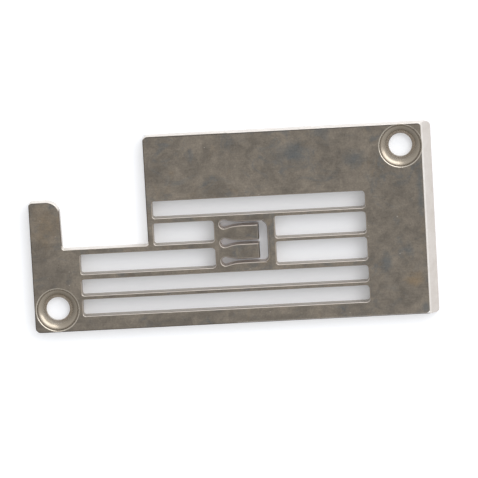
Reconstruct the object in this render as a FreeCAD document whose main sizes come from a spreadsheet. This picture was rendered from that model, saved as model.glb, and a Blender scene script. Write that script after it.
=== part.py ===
import FreeCAD, Part
import math
import os
import Sketcher

# Needle plate of a three-needle sewing machine: one flat piece of ground steel. It lies under the
# needles and is held down by two countersunk screws. Feed dogs rise through its seven long slots.
# The needles fall through three keyhole slots, and the two tongues between these hold the stitches.
# All sizes are in millimetres. The sketches start at the plate's front left corner, with X along
# the plate, Y towards its back edge and Z up from its underside.

doc = FreeCAD.newDocument("NeedlePlate")
sheet = doc.addObject("Spreadsheet::Sheet", "Sizes")

# Sizes that can each be set by themselves
DRIVING_SIZES = (
    ("plate_length", 69.1, "left edge to the foot of the bevelled right edge"),
    ("plate_width", 32.95, "front edge to the back edge of the wide block"),
    ("thickness", 2.5, "the same all over"),
    ("edge_break", 0.19, "rounding along the top of the outline and of the feed slots"),
    ("tongue_edge_break", 0.27, "larger rounding where the thread runs, round the needle slots"),
    ("bevel_run", 1.6, "plan width of the bevelled right edge"),
    ("bevel_land", 0.4, "upright band left under the bevel"),
    ("bevel_front_corner", 0.6, "rounding of the bevel's front corner"),
    ("bevel_back_corner", 0.95, "rounding of the bevel's back corner"),
    ("outer_corner", 0.9, "rounding of the two left corners of the plate"),
    ("arm_width", 5.36, "locating arm, where it leaves the plate"),
    ("arm_tip_width", 5.19, "locating arm at its tip"),
    ("arm_length", 8.35, "floor of the open notch to the tip of the arm"),
    ("arm_outer_corner", 0.65, "tip of the arm, on the plate's left edge"),
    ("arm_inner_corner", 2.2, "tip of the arm, on the side of the notch"),
    ("notch_corner", 0.35, "inner corners of the open notch"),
    ("block_left", 20.08, "left edge of the plate to the wide block"),
    ("front_bar", 2.6, "steel in front of the feed slots"),
    ("slot_5_width", 2.82, "frontmost feed slot"),
    ("bar_5_4", 0.7, "thin bar between feed slots 5 and 4"),
    ("slot_4_width", 2.77, "second feed slot from the front"),
    ("bar_4_3", 0.93, "thin bar between feed slots 4 and 3"),
    ("middle_bar_left", 1.02, "bar left of the needle slots"),
    ("middle_drop_left", 0.28, "middle of that bar, in front of the middle needle"),
    ("middle_bar_right", 0.66, "bar right of the needle slots"),
    ("middle_rise_right", 0.1, "middle of that bar, behind the middle needle"),
    ("bar_2_1_left", 0.91, "thin bar between feed slots 2 and 1, left"),
    ("bar_2_1_right", 0.67, "thin bar between feed slots 2 and 1, right"),
    ("slot_1_width", 2.89, "rearmost feed slot"),
    ("side_bar", 1.02, "steel left of feed slots 1 and 2"),
    ("right_land", 10.14, "steel from the feed slots to the bevel"),
    ("slot_left_corner", 0.4, "corners at the left ends of the feed slots"),
    ("slot_right_corner", 0.55, "corners at the right ends of the feed slots"),
    ("needle_x", 33.14, "left edge of the plate to the needles"),
    ("needle_pitch", 3.2, "from needle to needle, a gauge of 6.4 over three"),
    ("needle_hole_radius", 0.72, "round end of each keyhole, where the needle falls"),
    ("keyhole_slot_width", 0.58, "narrow part of each keyhole"),
    ("keyhole_flare", 8.0, "radius that widens the narrow part into the round end"),
    ("tongue_length", 5.86, "needles to the free ends of the two tongues"),
    ("cross_slot_width", 1.45, "slot across the free ends of the tongues"),
    ("cross_back_corner", 1.25, "back right corner of the cross slot"),
    ("cross_front_corner", 0.9, "front right corner of the cross slot"),
    ("frame_left", 1.0, "steel between the keyholes and the feed slots on their left"),
    ("frame_right", 1.39, "steel between the cross slot and the feed slots on its right"),
    ("frame_front", 1.18, "steel between the front keyhole and feed slot 4"),
    ("frame_back", 0.9, "steel between the back keyhole and feed slot 1"),
    ("screw_radius", 2.0, "bore for the shank of a screw"),
    ("sink_width", 0.5, "plan width of the straight countersink above the bore"),
    ("sink_slope", 45.0, "slope of the countersink in degrees"),
    ("seat_crown", 2.2, "radius that rounds the countersink over to the step"),
    ("seat_radius", 3.5, "round step that takes the head of the screw"),
    ("seat_step", 0.5, "depth of that step"),
    ("lip_radius", 0.3, "rounding of the step's rim"),
    ("lip_depth", 0.29, "depth of that rounding, which ends just short of level"),
    ("seat_side_wall", 0.46, "steel between the left seat and the left edge"),
    ("seat_edge_wall", 0.37, "steel between each seat and the front or back edge"),
    ("seat_bevel_wall", 0.12, "steel between the right seat and the bevel"),
    ("seat_slot_wall", 0.87, "steel between the left seat and the feed slots"),
)

# Places that follow from them, measured from the front left corner
PLACES = (
    ("bevel_top_x", "plate_length - bevel_run"),
    ("slot_5_back", "front_bar + slot_5_width"),
    ("slot_4_front", "slot_5_back + bar_5_4"),
    ("slot_4_back", "slot_4_front + slot_4_width"),
    ("slot_3_front", "slot_4_back + bar_4_3"),
    ("front_needle_y", "slot_4_back + frame_front + needle_hole_radius"),
    ("needle_y", "front_needle_y + needle_pitch"),
    ("back_needle_y", "needle_y + needle_pitch"),
    ("slot_1_front", "back_needle_y + needle_hole_radius + frame_back"),
    ("slot_1_back", "slot_1_front + slot_1_width"),
    ("slot_3_back_left", "needle_y - middle_drop_left - middle_bar_left / 2"),
    ("notch_floor_y", "needle_y - middle_drop_left + middle_bar_left / 2"),
    ("slot_3_back_right", "needle_y + middle_rise_right - middle_bar_right / 2"),
    ("slot_2_front_right", "needle_y + middle_rise_right + middle_bar_right / 2"),
    ("slot_2_back_left", "slot_1_front - bar_2_1_left"),
    ("slot_2_back_right", "slot_1_front - bar_2_1_right"),
    ("arm_tip_y", "notch_floor_y + arm_length"),
    ("left_seat_x", "seat_side_wall + seat_radius"),
    ("left_seat_y", "seat_edge_wall + seat_radius"),
    ("right_seat_x", "bevel_top_x - seat_bevel_wall - seat_radius"),
    ("right_seat_y", "plate_width - seat_edge_wall - seat_radius"),
    ("slots_left_x", "left_seat_x + seat_radius + seat_slot_wall"),
    ("block_slots_left_x", "block_left + side_bar"),
    ("slots_right_x", "bevel_top_x - right_land"),
    ("inner_left_x", "needle_x - needle_hole_radius - frame_left"),
    ("tongue_tip_x", "needle_x + tongue_length"),
    ("cross_right_x", "tongue_tip_x + cross_slot_width"),
    ("keyhole_end_x", "tongue_tip_x + cross_slot_width / 2"),
    ("inner_right_x", "cross_right_x + frame_right"),
    ("opening_front_y", "front_needle_y - keyhole_slot_width / 2"),
    ("opening_back_y", "back_needle_y + keyhole_slot_width / 2"),
    ("sink_radius", "screw_radius + sink_width"),
    ("seat_step_z", "thickness - seat_step"),
    ("lip_centre_z", "thickness - lip_depth"),
)

row = 0
for alias, value, note in DRIVING_SIZES:
    row += 1
    sheet.set(f"A{row}", note)
    sheet.set(f"B{row}", str(value))
    sheet.setAlias(f"B{row}", alias)
for alias, formula in PLACES:
    row += 1
    sheet.set(f"A{row}", "place")
    sheet.set(f"B{row}", "=" + formula)
    sheet.setAlias(f"B{row}", alias)
doc.recompute()

START, END, CENTRE = 1, 2, 3
ORIGIN = (-1, 1)
NEAR = 1e-3


def size(alias):
    """The present value of one cell, which drafts a sketch at its final shape."""
    return float(getattr(sheet, alias))


def line(x0, y0, x1, y1):
    return Part.LineSegment(FreeCAD.Vector(x0, y0, 0), FreeCAD.Vector(x1, y1, 0))


def arc(x, y, radius, start, end):
    """Anticlockwise arc about x, y, between two directions in radians."""
    circle = Part.Circle(FreeCAD.Vector(x, y, 0), FreeCAD.Vector(0, 0, 1), radius)
    return Part.ArcOfCircle(circle, start, end)


def new_sketch(name, plane_role):
    """An empty sketch on one of the body's own origin planes."""
    sketch = body.newObject("Sketcher::SketchObject", name)
    plane = next(item for item in body.Origin.OriginFeatures if item.Role == plane_role)
    sketch.AttachmentSupport = [(plane, "")]
    sketch.MapMode = "FlatFace"
    return sketch


def bind(sketch, kind, *references, alias, draft=None):
    """One dimension of a sketch, held to a cell of the sheet."""
    value = size(alias) if draft is None else draft
    number = sketch.addConstraint(Sketcher.Constraint(kind, *references, value))
    sketch.setExpression(f"Constraints[{number}]", f"Sizes.{alias}")


def place_x(sketch, piece, end, alias):
    """Distance of a point from the sketch's upright axis."""
    bind(sketch, "DistanceX", *ORIGIN, piece, end, alias=alias)


def place_y(sketch, piece, end, alias):
    """Distance of a point from the sketch's level axis."""
    bind(sketch, "DistanceY", *ORIGIN, piece, end, alias=alias)


def join(sketch, kind, piece, end, following, start):
    """Joins two pieces end to end, tangent or at a corner."""
    sketch.addConstraint(Sketcher.Constraint(kind, piece, end, following, start))


def draw_polygon(sketch, corners):
    """Closed run of lines, each held level or upright where its two ends agree."""
    count = len(corners)
    for index in range(count):
        start, end = corners[index], corners[(index + 1) % count]
        side = sketch.addGeometry(line(*start, *end), False)
        if start[1] == end[1]:
            sketch.addConstraint(Sketcher.Constraint("Horizontal", side))
        elif start[0] == end[0]:
            sketch.addConstraint(Sketcher.Constraint("Vertical", side))
    for index in range(count):
        join(sketch, "Coincident", index, END, (index + 1) % count, START)


def draw_opening(sketch, left, right, front, back, corners):
    """Rectangle between four places, with round corners where an alias gives their radius.

    The sides and the corners run anticlockwise, from the front side and the front right corner.
    """
    x0, x1, y0, y1 = size(left), size(right), size(front), size(back)
    points = ((x1, y0), (x1, y1), (x0, y1), (x0, y0))
    ways = ((1, 0), (0, 1), (-1, 0), (0, -1))
    radii = [size(alias) if alias else 0 for alias in corners]
    sides = []
    for k, (way_x, way_y) in enumerate(ways):
        (from_x, from_y), (to_x, to_y) = points[k - 1], points[k]
        before, after = radii[k - 1], radii[k]
        sides.append(sketch.addGeometry(
            line(from_x + way_x * before, from_y + way_y * before, to_x - way_x * after, to_y - way_y * after),
            False))
        sketch.addConstraint(Sketcher.Constraint("Vertical" if way_x == 0 else "Horizontal", sides[k]))
    for k, alias in enumerate(corners):
        side, following = sides[k], sides[(k + 1) % 4]
        if alias is None:
            join(sketch, "Coincident", side, END, following, START)
            continue
        centre_x = points[k][0] + (ways[(k + 1) % 4][0] - ways[k][0]) * radii[k]
        centre_y = points[k][1] + (ways[(k + 1) % 4][1] - ways[k][1]) * radii[k]
        quarter = math.pi / 2
        corner = sketch.addGeometry(arc(centre_x, centre_y, radii[k], (k - 1) * quarter, k * quarter), False)
        join(sketch, "Tangent", side, END, corner, START)
        join(sketch, "Tangent", corner, END, following, START)
        bind(sketch, "Radius", corner, alias=alias)
    place_y(sketch, sides[0], START, front)
    place_x(sketch, sides[1], START, right)
    place_y(sketch, sides[2], START, back)
    place_x(sketch, sides[3], START, left)


def check_removal(feature, volume_before):
    if feature.Shape.Volume >= volume_before - NEAR:
        raise RuntimeError(feature.Name + " removes nothing")


def cut_through(sketch, name):
    """Pocket through the whole plate, both ways from its sketch."""
    before = body.Shape.Volume
    pocket = body.newObject("PartDesign::Pocket", name)
    pocket.Profile = sketch
    pocket.Type = "ThroughAll"
    pocket.Midplane = True
    doc.recompute()
    check_removal(pocket, before)
    return pocket


def edge_names(feature, chosen):
    """Names of a feature's edges for which chosen(edge) is true."""
    return [f"Edge{number}" for number, edge in enumerate(feature.Shape.Edges, start=1) if chosen(edge)]


def round_edges(name, alias, chosen):
    """Fillet on the chosen edges of the body as it stands."""
    base = body.Tip
    fillet = body.newObject("PartDesign::Fillet", name)
    fillet.Base = (base, edge_names(base, chosen))
    fillet.setExpression("Radius", f"Sizes.{alias}")
    doc.recompute()
    if fillet.Shape.Volume == base.Shape.Volume:
        raise RuntimeError(name + " rounds nothing")


def upright_at(*corners):
    """Chooses the upright edges that stand on the given corners of the plan."""
    def chosen(edge):
        bounds = edge.BoundBox
        upright = bounds.XLength < NEAR and bounds.YLength < NEAR
        return upright and any(abs(bounds.XMin - x) < NEAR and abs(bounds.YMin - y) < NEAR for x, y in corners)
    return chosen


# The plate: its outline, with the locating arm, the open notch and the wide block
body = doc.addObject("PartDesign::Body", "NeedlePlateBody")
body.Label = "needle_plate"

outline = new_sketch("Outline", "XY_Plane")
plate_corners = (
    (0, 0),
    (size("plate_length"), 0),
    (size("plate_length"), size("plate_width")),
    (size("block_left"), size("plate_width")),
    (size("block_left"), size("notch_floor_y")),
    (size("arm_width"), size("notch_floor_y")),
    (size("arm_tip_width"), size("arm_tip_y")),
    (0, size("arm_tip_y")),
)
FRONT, RIGHT, BACK, BLOCK_SIDE, NOTCH_FLOOR, ARM_SIDE = range(6)
draw_polygon(outline, plate_corners)
outline.addConstraint(Sketcher.Constraint("Coincident", FRONT, START, *ORIGIN))
place_x(outline, FRONT, END, "plate_length")
place_y(outline, RIGHT, END, "plate_width")
place_x(outline, BACK, END, "block_left")
place_y(outline, BLOCK_SIDE, END, "notch_floor_y")
place_x(outline, NOTCH_FLOOR, END, "arm_width")
place_x(outline, ARM_SIDE, END, "arm_tip_width")
place_y(outline, ARM_SIDE, END, "arm_tip_y")

plate = body.newObject("PartDesign::Pad", "Plate")
plate.Profile = outline
plate.setExpression("Length", "Sizes.thickness")
doc.recompute()

# Corners of the outline
round_edges("OuterCorners", "outer_corner", upright_at(plate_corners[0], plate_corners[3]))
round_edges("NotchCorners", "notch_corner", upright_at(plate_corners[4], plate_corners[5]))
round_edges("ArmInnerCorner", "arm_inner_corner", upright_at(plate_corners[6]))
round_edges("ArmOuterCorner", "arm_outer_corner", upright_at(plate_corners[7]))
round_edges("BevelFrontCorner", "bevel_front_corner", upright_at(plate_corners[1]))
round_edges("BevelBackCorner", "bevel_back_corner", upright_at(plate_corners[2]))

# Bevel along the right edge, drawn end-on
bevel_profile = new_sketch("BevelProfile", "XZ_Plane")
bevel_top_x, bevel_foot_x = size("bevel_top_x"), size("plate_length")
top_z = size("thickness")
draw_polygon(bevel_profile, ((bevel_top_x, top_z), (bevel_foot_x, size("bevel_land")), (bevel_foot_x, top_z)))
place_x(bevel_profile, 0, START, "bevel_top_x")
place_y(bevel_profile, 0, START, "thickness")
place_x(bevel_profile, 0, END, "plate_length")
place_y(bevel_profile, 0, END, "bevel_land")
cut_through(bevel_profile, "Bevel")

# Seven feed slots, numbered from the back as they are named in the sheet
feed_slots = new_sketch("FeedSlotPlan", "XY_Plane")
slot_corners = ("slot_right_corner", "slot_right_corner", "slot_left_corner", "slot_left_corner")
draw_opening(feed_slots, "block_slots_left_x", "slots_right_x", "slot_1_front", "slot_1_back", slot_corners)
draw_opening(feed_slots, "block_slots_left_x", "inner_left_x", "notch_floor_y", "slot_2_back_left", slot_corners)
draw_opening(feed_slots, "inner_right_x", "slots_right_x", "slot_2_front_right", "slot_2_back_right", slot_corners)
draw_opening(feed_slots, "slots_left_x", "inner_left_x", "slot_3_front", "slot_3_back_left", slot_corners)
draw_opening(feed_slots, "inner_right_x", "slots_right_x", "slot_3_front", "slot_3_back_right", slot_corners)
draw_opening(feed_slots, "slots_left_x", "slots_right_x", "slot_4_front", "slot_4_back", slot_corners)
draw_opening(feed_slots, "slots_left_x", "slots_right_x", "front_bar", "slot_5_back", slot_corners)
cut_through(feed_slots, "FeedSlots")

# Cross slot that frees the ends of the two tongues
cross_plan = new_sketch("CrossSlotPlan", "XY_Plane")
draw_opening(cross_plan, "tongue_tip_x", "cross_right_x", "opening_front_y", "opening_back_y",
             ("cross_front_corner", "cross_back_corner", None, None))
cut_through(cross_plan, "CrossSlot")

# Front keyhole: a round end where the needle falls, which narrows into a slot to the cross slot
keyhole_plan = new_sketch("KeyholePlan", "XY_Plane")
needle_x, needle_y, end_x = size("needle_x"), size("front_needle_y"), size("keyhole_end_x")
hole_radius, flare = size("needle_hole_radius"), size("keyhole_flare")
half_slot = size("keyhole_slot_width") / 2
flare_rise = half_slot + flare
flare_x = needle_x + math.sqrt((hole_radius + flare) ** 2 - flare_rise ** 2)
lean = math.atan2(flare_rise, flare_x - needle_x)

front_side = keyhole_plan.addGeometry(line(flare_x, needle_y - half_slot, end_x, needle_y - half_slot), False)
end_side = keyhole_plan.addGeometry(line(end_x, needle_y - half_slot, end_x, needle_y + half_slot), False)
back_side = keyhole_plan.addGeometry(line(end_x, needle_y + half_slot, flare_x, needle_y + half_slot), False)
back_flare = keyhole_plan.addGeometry(
    arc(flare_x, needle_y + flare_rise, flare, math.pi + lean, math.pi * 1.5), False)
round_end = keyhole_plan.addGeometry(
    arc(needle_x, needle_y, hole_radius, lean, 2 * math.pi - lean), False)
front_flare = keyhole_plan.addGeometry(
    arc(flare_x, needle_y - flare_rise, flare, math.pi / 2, math.pi - lean), False)
join(keyhole_plan, "Coincident", front_side, END, end_side, START)
join(keyhole_plan, "Coincident", end_side, END, back_side, START)
join(keyhole_plan, "Tangent", back_side, END, back_flare, END)
join(keyhole_plan, "Tangent", back_flare, START, round_end, START)
join(keyhole_plan, "Tangent", round_end, END, front_flare, END)
join(keyhole_plan, "Tangent", front_flare, START, front_side, START)
keyhole_plan.addConstraint(Sketcher.Constraint("Horizontal", front_side))
keyhole_plan.addConstraint(Sketcher.Constraint("Vertical", end_side))
keyhole_plan.addConstraint(Sketcher.Constraint("Equal", back_flare, front_flare))
bind(keyhole_plan, "Radius", round_end, alias="needle_hole_radius")
bind(keyhole_plan, "Radius", back_flare, alias="keyhole_flare")
bind(keyhole_plan, "DistanceY", end_side, START, end_side, END, alias="keyhole_slot_width")
place_x(keyhole_plan, end_side, START, "keyhole_end_x")
place_y(keyhole_plan, front_side, START, "opening_front_y")
place_x(keyhole_plan, round_end, CENTRE, "needle_x")
place_y(keyhole_plan, round_end, CENTRE, "front_needle_y")
keyhole = cut_through(keyhole_plan, "Keyhole")

# Three keyholes, one to each needle
keyholes = body.newObject("PartDesign::LinearPattern", "Keyholes")
keyholes.Originals = [keyhole]
keyholes.Direction = (keyhole_plan, ["V_Axis"])
keyholes.Occurrences = 3
keyholes.setExpression("Length", "2 * Sizes.needle_pitch")
before_pattern = body.Shape.Volume
body.Tip = keyholes
doc.recompute()
check_removal(keyholes, before_pattern)

# Every edge of the top face is rounded, and more so round the needle slots
opening_left, opening_right = needle_x - hole_radius, size("cross_right_x")
opening_front = size("front_needle_y") - hole_radius
opening_back = size("back_needle_y") + hole_radius


def on_top_face(edge):
    bounds = edge.BoundBox
    return abs(bounds.ZMin - top_z) < NEAR and abs(bounds.ZMax - top_z) < NEAR


def round_needle_slots(edge):
    middle = edge.valueAt((edge.FirstParameter + edge.LastParameter) / 2)
    inside_x = opening_left - NEAR < middle.x < opening_right + NEAR
    inside_y = opening_front - NEAR < middle.y < opening_back + NEAR
    return inside_x and inside_y and on_top_face(edge)


round_edges("TongueEdges", "tongue_edge_break", round_needle_slots)
round_edges("TopEdges", "edge_break", lambda edge: on_top_face(edge) and not round_needle_slots(edge))


def cut_screw_seat(name, x_alias, y_alias):
    """Turned seat about an upright axis: bore, countersink, crown, step and rounded rim."""
    profile = new_sketch(name + "Profile", "XZ_Plane")
    profile.setExpression("AttachmentOffset.Base.x", f"Sizes.{x_alias}")
    profile.setExpression("AttachmentOffset.Base.z", f"-Sizes.{y_alias}")
    bore, sink, seat = size("screw_radius"), size("sink_radius"), size("seat_radius")
    slope, crown = math.radians(size("sink_slope")), size("seat_crown")
    step_z, lip_z, lip = size("seat_step_z"), size("lip_centre_z"), size("lip_radius")

    crown_x = sink + crown * math.sin(slope)
    crown_end = math.acos((seat - crown_x) / crown)
    crown_z = step_z - crown * math.sin(crown_end)
    sink_z = crown_z + crown * math.cos(slope)
    bore_z = sink_z - (sink - bore) * math.tan(slope)
    lip_x = seat + lip
    lip_end = math.pi - math.asin((top_z - lip_z) / lip)
    rim_x = lip_x + lip * math.cos(lip_end)

    floor = profile.addGeometry(line(0, 0, bore, 0), False)
    bore_wall = profile.addGeometry(line(bore, 0, bore, bore_z), False)
    sink_wall = profile.addGeometry(line(bore, bore_z, sink, sink_z), False)
    crown_arc = profile.addGeometry(arc(crown_x, crown_z, crown, crown_end, math.pi / 2 + slope), False)
    seat_wall = profile.addGeometry(line(seat, step_z, seat, lip_z), False)
    lip_arc = profile.addGeometry(arc(lip_x, lip_z, lip, lip_end, math.pi), False)
    top = profile.addGeometry(line(rim_x, top_z, 0, top_z), False)
    axis = profile.addGeometry(line(0, top_z, 0, 0), False)
    join(profile, "Coincident", floor, END, bore_wall, START)
    join(profile, "Coincident", bore_wall, END, sink_wall, START)
    join(profile, "Tangent", sink_wall, END, crown_arc, END)
    join(profile, "Coincident", crown_arc, START, seat_wall, START)
    join(profile, "Tangent", seat_wall, END, lip_arc, END)
    join(profile, "Coincident", lip_arc, START, top, START)
    join(profile, "Coincident", top, END, axis, START)
    join(profile, "Coincident", axis, END, floor, START)
    for level in (floor, top):
        profile.addConstraint(Sketcher.Constraint("Horizontal", level))
    for upright in (bore_wall, seat_wall, axis):
        profile.addConstraint(Sketcher.Constraint("Vertical", upright))
    profile.addConstraint(Sketcher.Constraint("Coincident", floor, START, *ORIGIN))
    bind(profile, "Angle", sink_wall, alias="sink_slope", draft=slope)
    bind(profile, "Radius", crown_arc, alias="seat_crown")
    bind(profile, "Radius", lip_arc, alias="lip_radius")
    place_x(profile, bore_wall, START, "screw_radius")
    place_x(profile, sink_wall, END, "sink_radius")
    place_x(profile, seat_wall, START, "seat_radius")
    place_y(profile, seat_wall, START, "seat_step_z")
    place_y(profile, seat_wall, END, "lip_centre_z")
    place_y(profile, axis, START, "thickness")

    before = body.Shape.Volume
    groove = body.newObject("PartDesign::Groove", name)
    groove.Profile = profile
    groove.ReferenceAxis = (profile, ["V_Axis"])
    groove.Angle = 360
    doc.recompute()
    check_removal(groove, before)
    return bore_z


bore_length = cut_screw_seat("LeftScrewSeat", "left_seat_x", "left_seat_y")
cut_screw_seat("RightScrewSeat", "right_seat_x", "right_seat_y")

# The finished plate lies with the middle of its underside at the origin
body.setExpression("Placement.Base.x", "-Sizes.plate_length / 2")
body.setExpression("Placement.Base.y", "-Sizes.plate_width / 2")
doc.recompute()

for item in doc.Objects:
    if "Invalid" in item.State or "Error" in item.State:
        raise RuntimeError(item.Name + " failed: " + str(item.State))
shape = body.Shape
if shape.isNull() or not shape.isValid() or len(shape.Solids) != 1:
    raise RuntimeError("needle_plate is not one valid solid")

os.makedirs("parts", exist_ok=True)
shape.exportStep(f"parts/{body.Label}.step")
extent = shape.optimalBoundingBox(True, False)
print(f"needle_plate {extent.XLength:.3f} x {extent.YLength:.3f} x {extent.ZLength:.3f} mm")
print(f"volume {shape.Volume:.1f} mm3, {len(shape.Faces)} faces, screw bore {bore_length:.3f} mm long")
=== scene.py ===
import math

import bpy
from mathutils import Matrix, Vector

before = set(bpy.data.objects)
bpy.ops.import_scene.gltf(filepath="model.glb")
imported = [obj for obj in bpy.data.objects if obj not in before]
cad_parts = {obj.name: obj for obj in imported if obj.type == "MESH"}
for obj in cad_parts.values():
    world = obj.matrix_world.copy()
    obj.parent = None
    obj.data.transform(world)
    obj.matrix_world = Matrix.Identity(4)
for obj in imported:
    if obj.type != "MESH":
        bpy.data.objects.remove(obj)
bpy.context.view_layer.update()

# The camera hangs far above the plate and looks almost straight down on it, tipped a little
# towards the plate's back edge, with the plate turned slightly in the picture.
MM = 0.001
VIEW_DISTANCE = 900 * MM
VIEW_WIDTH = 81.7 * MM
TIPPED_BACK = math.radians(8.15)
TIPPED_RIGHT = math.radians(1.91)
TURN = math.radians(-3.22)
AIM = Vector((0.97, -2.31, 0)) * MM

scene = bpy.context.scene
camera_data = bpy.data.cameras.new("Camera")
camera_data.lens = camera_data.sensor_width * VIEW_DISTANCE / VIEW_WIDTH
camera = bpy.data.objects.new("Camera", camera_data)
scene.collection.objects.link(camera)
towards_camera = Vector((math.tan(TIPPED_RIGHT), math.tan(TIPPED_BACK), 1)).normalized()
across = Vector((0, 1, 0)).cross(towards_camera).normalized()
upwards = towards_camera.cross(across)
facing = Matrix((across, upwards, towards_camera)).transposed().to_4x4()
camera.matrix_world = (Matrix.Translation(AIM + towards_camera * VIEW_DISTANCE)
                       @ facing @ Matrix.Rotation(TURN, 4, "Z"))
scene.camera = camera
scene.view_settings.view_transform = "Standard"

# The sheet of white paper that the plate lies on takes the plate's soft shadow, and the
# bevelled edge and the walls of the slots reflect it. It is drawn brighter than it is lit where
# it lies open, and hardly where the plate stands over it. Places on it are in millimetres.
PAPER_SIDE = 3.0
PAPER_TOP = 0.01 * MM
PAPER_COLOUR_SEEN = (238, 240, 244)
OPEN_GLOW = 0.27
SHELTERED_GLOW = 0.09
BORE_SHELTER = 0.5
FIBRES_PER_METRE = 2400
FIBRE_HEIGHT = 0.02 * MM
FRONT_BAR_AREA = ((-34.6, -16.5), (33.0, -2.4))
BLOCK_AREA = ((-14.5, -16.5), (33.0, 16.5))
CHANNEL_AREA = ((-2.4, -7.2), (4.2, 1.7))
LEFT_SEAT = (-30.59, -12.605, 0)
RIGHT_SEAT = (29.33, 12.605, 0)
BORE_REACH = 2.2


def srgb(red, green, blue):
    """A colour read off a screen, from 0 to 255, as the shader wants it."""
    def linear(level):
        level /= 255
        return level / 12.92 if level <= 0.04045 else ((level + 0.055) / 1.055) ** 2.4
    return (linear(red), linear(green), linear(blue), 1)


def add_node(tree, kind, inputs=(), **settings):
    """A node with its settings, and its inputs as values or as sockets to link from."""
    node = tree.nodes.new("ShaderNode" + kind)
    for name, value in settings.items():
        setattr(node, name, value)
    for key, value in dict(inputs).items():
        if isinstance(value, bpy.types.NodeSocket):
            tree.links.new(value, node.inputs[key])
        else:
            node.inputs[key].default_value = value
    return node


def maths(tree, operation, first, second=0.0, third=0.0):
    """Result of one Math node."""
    node = add_node(tree, "Math", {0: first, 1: second, 2: third}, operation=operation)
    return node.outputs[0]


def vector_maths(tree, operation, first, second=(0, 0, 0), result="Vector"):
    """Result of one Vector Math node."""
    node = add_node(tree, "VectorMath", {0: first, 1: second}, operation=operation)
    return node.outputs[result]


def ramp(tree, value, low, high, to_low=0.0, to_high=1.0):
    """Value spread smoothly from one range to another."""
    spread = add_node(tree, "MapRange", {
        "Value": value, "From Min": low, "From Max": high, "To Min": to_low, "To Max": to_high},
        interpolation_type="SMOOTHSTEP")
    return spread.outputs["Result"]


def box_mask(tree, place, box, fade):
    """1 in a rectangle of the plan, given by two of its corners, fading out at its edges."""
    low, high = box
    split = add_node(tree, "SeparateXYZ", {0: place})
    mask = 1.0
    for axis in (0, 1):
        value = split.outputs[axis]
        for edge, side in ((low[axis], 1), (high[axis], -1)):
            inside = ramp(tree, value, edge - side * fade / 2, edge + side * fade / 2)
            mask = maths(tree, "MULTIPLY", inside, mask)
    return mask


def seat_distance(tree, place):
    """Distance from the upright axis of the nearer screw seat."""
    level_place = vector_maths(tree, "MULTIPLY", place, (1, 1, 0))
    return maths(tree, "MINIMUM", *(
        vector_maths(tree, "DISTANCE", level_place, centre, "Value")
        for centre in (LEFT_SEAT, RIGHT_SEAT)))


def new_material(name):
    """An empty material and its node tree."""
    material = bpy.data.materials.new(name)
    material.use_nodes = True
    material.node_tree.nodes.clear()
    return material, material.node_tree


def place_in_mm(tree, coordinates):
    """Place on the object, in millimetres."""
    scaled = add_node(tree, "VectorMath", {0: coordinates.outputs["Object"], "Scale": 1 / MM},
                      operation="SCALE")
    return scaled.outputs[0]


paper_mesh = bpy.data.meshes.new("Paper")
half = PAPER_SIDE / 2
paper_mesh.from_pydata(
    [(x, y, PAPER_TOP) for x, y in ((-half, -half), (half, -half), (half, half), (-half, half))],
    [], [(0, 1, 2, 3)])
paper = bpy.data.objects.new("Paper", paper_mesh)
scene.collection.objects.link(paper)

paper_material, tree = new_material("Paper")
coordinates = add_node(tree, "TexCoord")
fibres = add_node(tree, "TexNoise", {
    "Vector": coordinates.outputs["Object"], "Scale": FIBRES_PER_METRE, "Detail": 3})
paper_bump = add_node(tree, "Bump", {
    "Height": fibres.outputs["Fac"], "Strength": 0.05, "Distance": FIBRE_HEIGHT})
paper_face = add_node(tree, "BsdfDiffuse", {
    "Color": srgb(*PAPER_COLOUR_SEEN), "Normal": paper_bump.outputs["Normal"]})

place = place_in_mm(tree, coordinates)
sheltered = maths(tree, "MAXIMUM", box_mask(tree, place, FRONT_BAR_AREA, fade=0.3),
                  box_mask(tree, place, BLOCK_AREA, fade=0.3))
under_bore = ramp(tree, seat_distance(tree, place), BORE_REACH + 0.1, BORE_REACH)
open_share = maths(tree, "MULTIPLY_ADD", under_bore, -BORE_SHELTER, 1.0)
sheltered = maths(tree, "MULTIPLY", sheltered, open_share)
glow_level = maths(tree, "MULTIPLY_ADD", sheltered, SHELTERED_GLOW - OPEN_GLOW, OPEN_GLOW)
under_channels = box_mask(tree, place, CHANNEL_AREA, fade=0.4)
glow_level = maths(tree, "MULTIPLY", glow_level, maths(tree, "SUBTRACT", 1.0, under_channels))
path = add_node(tree, "LightPath")
seen = maths(tree, "MAXIMUM", path.outputs["Is Camera Ray"], path.outputs["Is Glossy Ray"])
seen = maths(tree, "MAXIMUM", seen, path.outputs["Is Transmission Ray"])
glow = add_node(tree, "Emission", {"Strength": maths(tree, "MULTIPLY", seen, glow_level)})
lit_and_glowing = add_node(tree, "AddShader", {0: paper_face.outputs[0], 1: glow.outputs[0]})
add_node(tree, "OutputMaterial", {"Surface": lit_and_glowing.outputs[0]})
paper_mesh.materials.append(paper_material)

# Daylight comes from a wide window behind and to the right of the plate. The room all round is
# pale, brighter on the window's side, and brighter below, where only the underside sees it.
WINDOW_BEARING = math.radians(48)
WINDOW_HEIGHT = math.radians(44)
WINDOW_DISTANCE = 1.2
WINDOW_WIDE, WINDOW_TALL = 1.5, 0.5
WINDOW_POWER = 6.0
ROOM_BRIGHT, ROOM_DIM, ROOM_BELOW = 1.02, 0.42, 0.95

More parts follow.
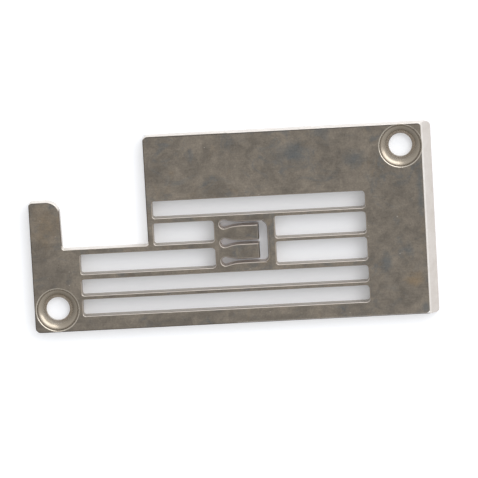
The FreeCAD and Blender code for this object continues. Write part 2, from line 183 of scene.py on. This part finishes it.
towards_window = Vector((math.cos(WINDOW_BEARING) * math.cos(WINDOW_HEIGHT),
                         math.sin(WINDOW_BEARING) * math.cos(WINDOW_HEIGHT),
                         math.sin(WINDOW_HEIGHT)))
window_data = bpy.data.lights.new("Window", "AREA")
window_data.shape = "RECTANGLE"
window_data.size, window_data.size_y = WINDOW_WIDE, WINDOW_TALL
window_data.energy = WINDOW_POWER
window = bpy.data.objects.new("Window", window_data)
window.location = towards_window * WINDOW_DISTANCE
window.rotation_euler = towards_window.to_track_quat("Z", "Y").to_euler()
scene.collection.objects.link(window)

room = bpy.data.worlds.new("Room")
room.use_nodes = True
tree = room.node_tree
tree.nodes.clear()
outward = add_node(tree, "TexCoord").outputs["Generated"]
towards = vector_maths(tree, "DOT_PRODUCT", outward, towards_window, "Value")
room_level = add_node(tree, "MapRange", {
    "Value": towards, "From Min": -0.6, "From Max": 0.9,
    "To Min": ROOM_DIM, "To Max": ROOM_BRIGHT}).outputs["Result"]
rise = add_node(tree, "SeparateXYZ", {0: outward}).outputs["Z"]
from_below = ramp(tree, rise, -0.1, -0.6, to_high=ROOM_BELOW)
room_level = maths(tree, "MAXIMUM", room_level, from_below)
camera_ray = add_node(tree, "LightPath").outputs["Is Camera Ray"]
room_level = maths(tree, "MAXIMUM", room_level, camera_ray)
air = add_node(tree, "Background", {"Color": (1, 1, 1, 1), "Strength": room_level})
add_node(tree, "OutputWorld", {"Surface": air.outputs[0]})
scene.world = room

# The plate is one piece of tool steel, milled, hardened and ground flat. Years of use have
# tarnished its ground faces to a mottled brown and grey. Their colour is also painted darker, as
# painted shade for the dim room they reflect from above, while its bevel, walls and screw seats
# stay nearer to bare steel. Lengths and places in its material are in millimetres.
TARNISH_AND_SHADE_LIGHT = srgb(146, 137, 125)
TARNISH_AND_SHADE_DARK = srgb(98, 93, 87)
TARNISH_BLUE = srgb(97, 102, 105)
TARNISH_OCHRE = srgb(140, 122, 98)
# Painted shade for the rounding of the outer edges and along the ground face's back edges
SHADED_EDGE_STEEL = srgb(84, 79, 76)
BARE_STEEL = srgb(210, 204, 198)
# Painted highlight for the top face's corners at the bevel
CORNER_HIGHLIGHT_STEEL = srgb(252, 249, 247)
CUT_STEEL = srgb(170, 161, 150)
# Light steel painted on the walls that face back, a painted reflection of the paper
BACK_WALL_REFLECTION_STEEL = srgb(230, 225, 219)
# Painted highlight on the line where the bevel begins
BEVEL_HIGHLIGHT_STEEL = srgb(228, 223, 218)
TONGUE_STEEL = srgb(182, 175, 168)
CHANNEL_STEEL = srgb(222, 213, 207)
SINK_STEEL = srgb(196, 189, 180)
SEAT_STEEL = srgb(163, 155, 143)
STEP_SHADE_STEEL = srgb(116, 108, 98)
LIP_STEEL = srgb(196, 189, 178)

SINK_REACH = (2.42, 2.6)
STEP_START = (3.25, 3.42)
STEP_END = (3.52, 3.6)
SEAT_REACH = 3.75
CORNER_ROUND = 0.7
TOP_CORNER = (32.97, 16.3)

TONGUES = ((-2.5, -6.9), (6.4, 1.9))
TONGUE_TIPS = ((4.2, -5.6), (4.8, 0.6))
BEVEL = ((32.9, -18), (36, 18))
BEVEL_HIGHLIGHT_LINE = ((32.9, -18), (33.2, 18))
BACK_WALLS = {"block": ((-15.2, 15.9), (36, 18)),
              "arm": ((-36, -1.5), (-28.5, 8)),
              "notch": ((-29.4, -2.7), (-14.3, -1.9))}
INSIDE_OUTER_EDGE = ((-34.3, -16.2), (36, 18))
ARM_RIGHT_EDGE = ((-29.5, -1.6), (-28.5, 8))
BLOCK_LEFT_EDGE = ((-15, -1.6), (-14.25, 18))
# Bands of painted shade along the back edges of the ground face
BLOCK_BACK_EDGE_SHADE = ((-14.3, 16.12), (32.9, 17))
ARM_BACK_EDGE_SHADE = ((-34.4, 5.8), (-29.3, 7))

# Each stain's middle and its reach, across and towards the back, with its colour and strength
STAINS = {
    "above the slots": ((10.7, 12.3), (4.5, 2.6), TARNISH_BLUE, 0.6),
    "by the right seat": ((21.3, 10.8), (2.8, 2.0), TARNISH_BLUE, 0.6),
    "right of the slots": ((25.9, -7.4), (1.3, 3.4), TARNISH_BLUE, 0.6),
    "right panel": ((30.0, -5.2), (1.2, 1.6), TARNISH_BLUE, 0.6),
    "front right corner": ((32.4, -15.2), (1.2, 1.2), TARNISH_BLUE, 0.6),
    "along the bevel": ((32.3, 4.0), (0.9, 7.0), TARNISH_BLUE, 0.6),
    "above the left seat": ((-31.0, -7.0), (5.5, 4.5), TARNISH_AND_SHADE_DARK, 0.5),
    "front edge, left": ((-14.0, -15.6), (7.0, 1.3), TARNISH_AND_SHADE_DARK, 0.5),
    "front edge, right": ((8.0, -15.8), (9.0, 0.9), TARNISH_AND_SHADE_DARK, 0.5),
    "behind the tongues": ((-2.0, 6.5), (5.0, 2.0), TARNISH_AND_SHADE_DARK, 0.5),
    "arm": ((-32.0, 1.5), (3.2, 5.5), TARNISH_OCHRE, 0.4),
    "front of the right panel": ((30.6, -10.4), (2.6, 1.7), TARNISH_OCHRE, 0.65),
}
STAIN_HEIGHT = 2.5
STAIN_DEPTH = 3


def new_group(name, inputs, outputs):
    """An empty shader node group with named sockets."""
    group = bpy.data.node_groups.new(name, "ShaderNodeTree")
    for in_out, sockets in (("INPUT", inputs), ("OUTPUT", outputs)):
        for socket_name, kind in sockets.items():
            group.interface.new_socket(
                socket_name, in_out=in_out, socket_type="NodeSocket" + kind)
    return group, group.nodes.new("NodeGroupInput"), group.nodes.new("NodeGroupOutput")


def noise(tree, place, scale, detail, roughness, distortion=0.0, stretch=(1, 1, 1)):
    """Values of one noise pattern, its scale in waves per millimetre."""
    placed = add_node(tree, "Mapping", {"Vector": place, "Scale": stretch})
    pattern = add_node(tree, "TexNoise", {
        "Vector": placed.outputs[0], "Scale": scale, "Detail": detail,
        "Roughness": roughness, "Distortion": distortion})
    return pattern.outputs["Fac"]


def mix_colour(tree, mask, under, over):
    """One colour laid over another where the mask is 1."""
    mixed = add_node(tree, "Mix", {0: mask, 6: under, 7: over}, data_type="RGBA")
    return mixed.outputs[2]


# Stain: a patch with a ragged edge round a point of the plate
stain_group, stain_in, stain_out = new_group(
    "Stain", {"Place": "Vector", "Centre": "Vector", "Reach": "Vector"}, {"Mask": "Float"})
tree = stain_group
place = stain_in.outputs["Place"]
offset = vector_maths(tree, "SUBTRACT", place, stain_in.outputs["Centre"])
sized = vector_maths(tree, "DIVIDE", offset, stain_in.outputs["Reach"])
far = vector_maths(tree, "LENGTH", sized, result="Value")
ragged = noise(tree, place, scale=0.7, detail=6, roughness=0.65)
ragged_far = maths(tree, "MULTIPLY_ADD", ragged, -1.6, maths(tree, "ADD", far, 0.8))
tree.links.new(ramp(tree, ragged_far, 1.0, 0.0), stain_out.inputs["Mask"])

# Tarnish: the mottled film on the ground faces, its colour and how dull it makes them. Its
# colours are also painted dark, as painted shade for the dim room the ground faces reflect
tarnish_group, tarnish_in, tarnish_out = new_group(
    "Tarnish", {"Place": "Vector"}, {"Colour": "Color", "Dullness": "Float"})
tree = tarnish_group
place = tarnish_in.outputs["Place"]
clouds = noise(tree, place, scale=0.16, detail=6, roughness=0.62, distortion=0.6)
blotches = noise(tree, place, scale=0.55, detail=6, roughness=0.66, distortion=0.5)
cool = noise(tree, place, scale=0.24, detail=7, roughness=0.68, distortion=0.9,
             stretch=(1, 1.3, 1))
warm = noise(tree, place, scale=0.2, detail=7, roughness=0.7, distortion=1.2,
             stretch=(1.3, 1, 1))
amount = maths(tree, "MULTIPLY_ADD", ramp(tree, clouds, 0.34, 0.66), 0.34, 0.18)
amount = maths(tree, "MULTIPLY_ADD", ramp(tree, blotches, 0.36, 0.66), 0.34, amount)
colour = mix_colour(tree, amount, TARNISH_AND_SHADE_DARK, TARNISH_AND_SHADE_LIGHT)
colour = mix_colour(tree, ramp(tree, cool, 0.5, 0.68, to_high=0.55), colour, TARNISH_BLUE)
colour = mix_colour(tree, ramp(tree, warm, 0.56, 0.74, to_high=0.35), colour, TARNISH_OCHRE)
for centre, reach, stain_colour, strength in STAINS.values():
    stain = add_node(tree, "Group", node_tree=stain_group)
    tree.links.new(place, stain.inputs["Place"])
    stain.inputs["Centre"].default_value = (*centre, STAIN_HEIGHT)
    stain.inputs["Reach"].default_value = (*reach, STAIN_DEPTH)
    mask = maths(tree, "MULTIPLY", stain.outputs["Mask"], strength)
    colour = mix_colour(tree, mask, colour, stain_colour)
tree.links.new(colour, tarnish_out.inputs["Colour"])
tree.links.new(amount, tarnish_out.inputs["Dullness"])

# Wear: fine ground lines, grain, dark pits and a few bright nicks
wear_group, wear_in, wear_out = new_group(
    "Wear", {"Place": "Vector"}, {"Shade": "Float", "Nicks": "Float", "Height": "Float"})
tree = wear_group
place = wear_in.outputs["Place"]
lines = noise(tree, place, scale=1.0, detail=5, roughness=0.6, stretch=(0.35, 9.0, 3.0))
grain = noise(tree, place, scale=3.2, detail=7, roughness=0.78)
pit_cells = add_node(tree, "TexVoronoi", {"Vector": place, "Scale": 0.8, "Randomness": 1})
pits = ramp(tree, pit_cells.outputs["Distance"], 0.09, 0.05)
nick_place = add_node(tree, "Mapping", {
    "Vector": place, "Scale": (1, 1.8, 1), "Location": (3.1, 7.7, 0)})
nick_cells = add_node(tree, "TexVoronoi", {
    "Vector": nick_place.outputs[0], "Scale": 0.33, "Randomness": 1})
nicks = ramp(tree, nick_cells.outputs["Distance"], 0.055, 0.03)
line_shade = maths(tree, "MULTIPLY_ADD", lines, 0.28, 0.86)
grain_shade = maths(tree, "MULTIPLY_ADD", grain, 1.05, 0.51)
pit_shade = maths(tree, "MULTIPLY_ADD", pits, -0.25, 1.0)
shade = maths(tree, "MULTIPLY", maths(tree, "MULTIPLY", line_shade, grain_shade), pit_shade)
height = maths(tree, "MULTIPLY_ADD", pits, -0.6, lines)
height = maths(tree, "MULTIPLY_ADD", grain, 0.4, height)
tree.links.new(shade, wear_out.inputs["Shade"])
tree.links.new(nicks, wear_out.inputs["Nicks"])
tree.links.new(height, wear_out.inputs["Height"])

steel, tree = new_material("Ground_steel")
coordinates = add_node(tree, "TexCoord")
place = place_in_mm(tree, coordinates)
outward = add_node(tree, "SeparateXYZ", {0: coordinates.outputs["Normal"]})
facing_right, facing_back, facing_up = (outward.outputs[axis] for axis in "XYZ")
# Faces told apart by their normal: the ground faces get the tarnish with its painted shade
ground_face = ramp(tree, maths(tree, "ABSOLUTE", facing_up), 0.93, 0.992)
sloping = ramp(tree, facing_up, 0.05, 0.5)
tarnish = add_node(tree, "Group", node_tree=tarnish_group)
wear = add_node(tree, "Group", node_tree=wear_group)
for group_node in (tarnish, wear):
    tree.links.new(place, group_node.inputs["Place"])

# Walls and rounded edges: bare steel on the bevel, and a painted highlight in bare steel on the
# rounded edges that face back, for the paper they reflect; duller steel elsewhere
on_bevel = box_mask(tree, place, BEVEL, fade=0.05)
bare_bevel_and_edge_highlight = maths(tree, "MAXIMUM", on_bevel, ramp(tree, facing_back, -0.1, 0.4))
cut_face = mix_colour(tree, maths(tree, "MULTIPLY", sloping, bare_bevel_and_edge_highlight), CUT_STEEL, BARE_STEEL)
by_tongues = box_mask(tree, place, TONGUES, fade=0.1)
tongue_face = mix_colour(tree, sloping, CHANNEL_STEEL, TONGUE_STEEL)
cut_face = mix_colour(tree, by_tongues, cut_face, tongue_face)
# Painted shade: the tips of the tongues, where they face right, are painted dark
shaded_tongue_tip = maths(tree, "MULTIPLY", box_mask(tree, place, TONGUE_TIPS, fade=0.1),
                   ramp(tree, facing_right, 0.2, 0.5))
cut_face = mix_colour(tree, shaded_tongue_tip, cut_face, TARNISH_AND_SHADE_DARK)

# Painted shade on the rounding of the outer edges
outer = maths(tree, "SUBTRACT", 1.0, box_mask(tree, place, INSIDE_OUTER_EDGE, fade=0.05))
for edge in (ARM_RIGHT_EDGE, BLOCK_LEFT_EDGE):
    outer = maths(tree, "MAXIMUM", outer, box_mask(tree, place, edge, fade=0.05))
rounded = maths(tree, "MULTIPLY", ramp(tree, facing_up, 0.25, 0.45),
                maths(tree, "LESS_THAN", facing_up, 0.995))
shaded_outer_edge = maths(tree, "MULTIPLY", maths(tree, "MULTIPLY", outer, rounded),
               maths(tree, "SUBTRACT", 1.0, on_bevel))
cut_face = mix_colour(tree, shaded_outer_edge, cut_face, SHADED_EDGE_STEEL)

# Painted reflection: the walls that face back get a light steel, for the paper they reflect
at_back_wall = 0.0
for wall in BACK_WALLS.values():
    at_back_wall = maths(tree, "MAXIMUM", box_mask(tree, place, wall, fade=0.1), at_back_wall)
painted_back_wall_reflection = maths(tree, "MULTIPLY", at_back_wall, ramp(tree, facing_back, 0.15, 0.5))
cut_face = mix_colour(tree, painted_back_wall_reflection, cut_face, BACK_WALL_REFLECTION_STEEL)
# Painted highlight: the bright line where the bevel begins
cut_face = mix_colour(tree, box_mask(tree, place, BEVEL_HIGHLIGHT_LINE, fade=0.12), cut_face,
                      BEVEL_HIGHLIGHT_STEEL)

# Screw seats: the sink round the bore, the crowned seat, the wall of its step, painted dark as
# painted shade for the step's shadow, and the lip
from_seat = seat_distance(tree, place)
seat_face = mix_colour(tree, ramp(tree, from_seat, *SINK_REACH), SINK_STEEL, SEAT_STEEL)
seat_face = mix_colour(tree, ramp(tree, from_seat, *STEP_START), seat_face, STEP_SHADE_STEEL)
seat_face = mix_colour(tree, ramp(tree, from_seat, *STEP_END), seat_face, LIP_STEEL)
in_seat = maths(tree, "MULTIPLY", maths(tree, "LESS_THAN", from_seat, SEAT_REACH),
                maths(tree, "GREATER_THAN", facing_up, -0.5))
cut_face = mix_colour(tree, in_seat, cut_face, seat_face)
film = maths(tree, "MULTIPLY", tarnish.outputs["Dullness"], 0.25)
cut_face = mix_colour(tree, film, cut_face, TARNISH_OCHRE)

# Painted shade along the ground face's back edges, and a painted highlight on the face's corners
# at the bevel
back_edge_shade = maths(tree, "MAXIMUM", box_mask(tree, place, BLOCK_BACK_EDGE_SHADE, fade=0.08),
              box_mask(tree, place, ARM_BACK_EDGE_SHADE, fade=0.08))
ground_tarnish_and_shade = mix_colour(tree, maths(tree, "MULTIPLY", back_edge_shade, 0.7),
                           tarnish.outputs["Colour"], SHADED_EDGE_STEEL)
# Beyond a 0.7 mm rounding of the corners at the bevel, the top face is painted near white, a
# painted highlight standing in for the bright bevel that a rounded corner would show there
folded = vector_maths(tree, "MULTIPLY", vector_maths(tree, "ABSOLUTE", place), (1, 1, 0))
round_centre = (*(reach - CORNER_ROUND for reach in TOP_CORNER), 0)
beyond = vector_maths(tree, "MAXIMUM", vector_maths(tree, "SUBTRACT", folded, round_centre))
from_centre = vector_maths(tree, "LENGTH", beyond, result="Value")
past_round = ramp(tree, from_centre, CORNER_ROUND - 0.03, CORNER_ROUND + 0.03)
right_half = maths(tree, "GREATER_THAN",
                   add_node(tree, "SeparateXYZ", {0: place}).outputs["X"], 0.0)
on_top = maths(tree, "GREATER_THAN", facing_up, 0.5)
painted_corner_highlight = maths(tree, "MULTIPLY", maths(tree, "MULTIPLY", right_half, on_top), past_round)
ground_tarnish_and_shade = mix_colour(tree, painted_corner_highlight, ground_tarnish_and_shade, CORNER_HIGHLIGHT_STEEL)

# The ground faces, with their tarnish and painted shade, and the rest together, with their wear
ground_only = maths(tree, "MULTIPLY", ground_face, maths(tree, "SUBTRACT", 1.0, in_seat))
face = mix_colour(tree, ground_only, cut_face, ground_tarnish_and_shade)
shade_share = maths(tree, "MULTIPLY_ADD", ground_face, 0.8, 0.2)
shade = maths(tree, "MULTIPLY_ADD", maths(tree, "SUBTRACT", wear.outputs["Shade"], 1.0),
              shade_share, 1.0)
shaded = add_node(tree, "VectorMath", {0: face, "Scale": shade}, operation="SCALE")
nicked = maths(tree, "MULTIPLY", wear.outputs["Nicks"],
               maths(tree, "MULTIPLY", ground_face, 0.35))
colour = mix_colour(tree, nicked, shaded.outputs[0], BARE_STEEL)
roughness = maths(tree, "MULTIPLY_ADD", ground_face, 0.14, 0.3)
roughness = maths(tree, "MULTIPLY_ADD", tarnish.outputs["Dullness"], 0.08, roughness)
roughness = maths(tree, "MULTIPLY_ADD", in_seat, -0.08, roughness)
roughness = maths(tree, "MULTIPLY_ADD", by_tongues, 0.12, roughness)
relief = add_node(tree, "Bump", {
    "Height": wear.outputs["Height"], "Strength": 0.25, "Distance": 0.01 * MM})
surface = add_node(tree, "BsdfPrincipled", {
    "Base Color": colour, "Metallic": 1.0, "Roughness": roughness,
    "Normal": relief.outputs["Normal"]})
add_node(tree, "OutputMaterial", {"Surface": surface.outputs[0]})

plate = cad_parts["needle_plate"]
for slot in plate.material_slots:
    slot.material = steel
